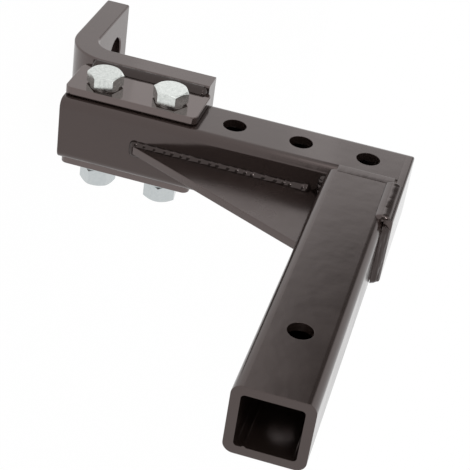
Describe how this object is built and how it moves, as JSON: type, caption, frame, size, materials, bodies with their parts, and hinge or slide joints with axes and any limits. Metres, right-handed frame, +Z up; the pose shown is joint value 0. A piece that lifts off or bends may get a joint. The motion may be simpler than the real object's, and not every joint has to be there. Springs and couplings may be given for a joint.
{
  "type": "adjustable ball mount",
  "caption": "Drop hitch ball mount: square-tube shank welded to a drilled riser, with a bent flat-bar ball bracket clamped to the riser by through bolts.",
  "frame": {"origin": "centre of the hitch pin hole, on the shank's axis, halfway between the shank's two side walls", "axes": "+X along the shank towards the ball, +Y along the hitch pin and bolts towards the bolt heads, +Z up in use, with the riser hanging down (drop position)"},
  "size_m": [0.4156, 0.0928, 0.28],
  "materials": {
    "black_paint": "gloss black paint on steel",
    "zinc_plate": "satin zinc plating",
    "painted_weld": "gloss black paint over rippled weld"
  },
  "bodies": {
    "root": {"shank_tube": "black_paint", "riser_tube": "black_paint", "riser_top_cap": "black_paint", "riser_bottom_cap": "black_paint", "gusset_plate": "black_paint", "ball_bracket": "black_paint", "head_side_plate": "black_paint", "nut_side_plate": "black_paint", "upper_bolt": "zinc_plate", "lower_bolt": "zinc_plate", "upper_lock_washer": "zinc_plate", "lower_lock_washer": "zinc_plate", "upper_nut": "zinc_plate", "lower_nut": "zinc_plate", "weld_gusset_riser": "painted_weld", "weld_gusset_shank": "painted_weld", "weld_head_plate": "painted_weld", "weld_nut_plate": "painted_weld", "weld_joint_head_side": "painted_weld", "weld_joint_nut_side": "painted_weld", "weld_joint_bottom": "painted_weld", "weld_joint_top_head_side": "painted_weld", "weld_joint_top_nut_side": "painted_weld", "weld_joint_top_front": "painted_weld"}
  },
  "joints": []
}
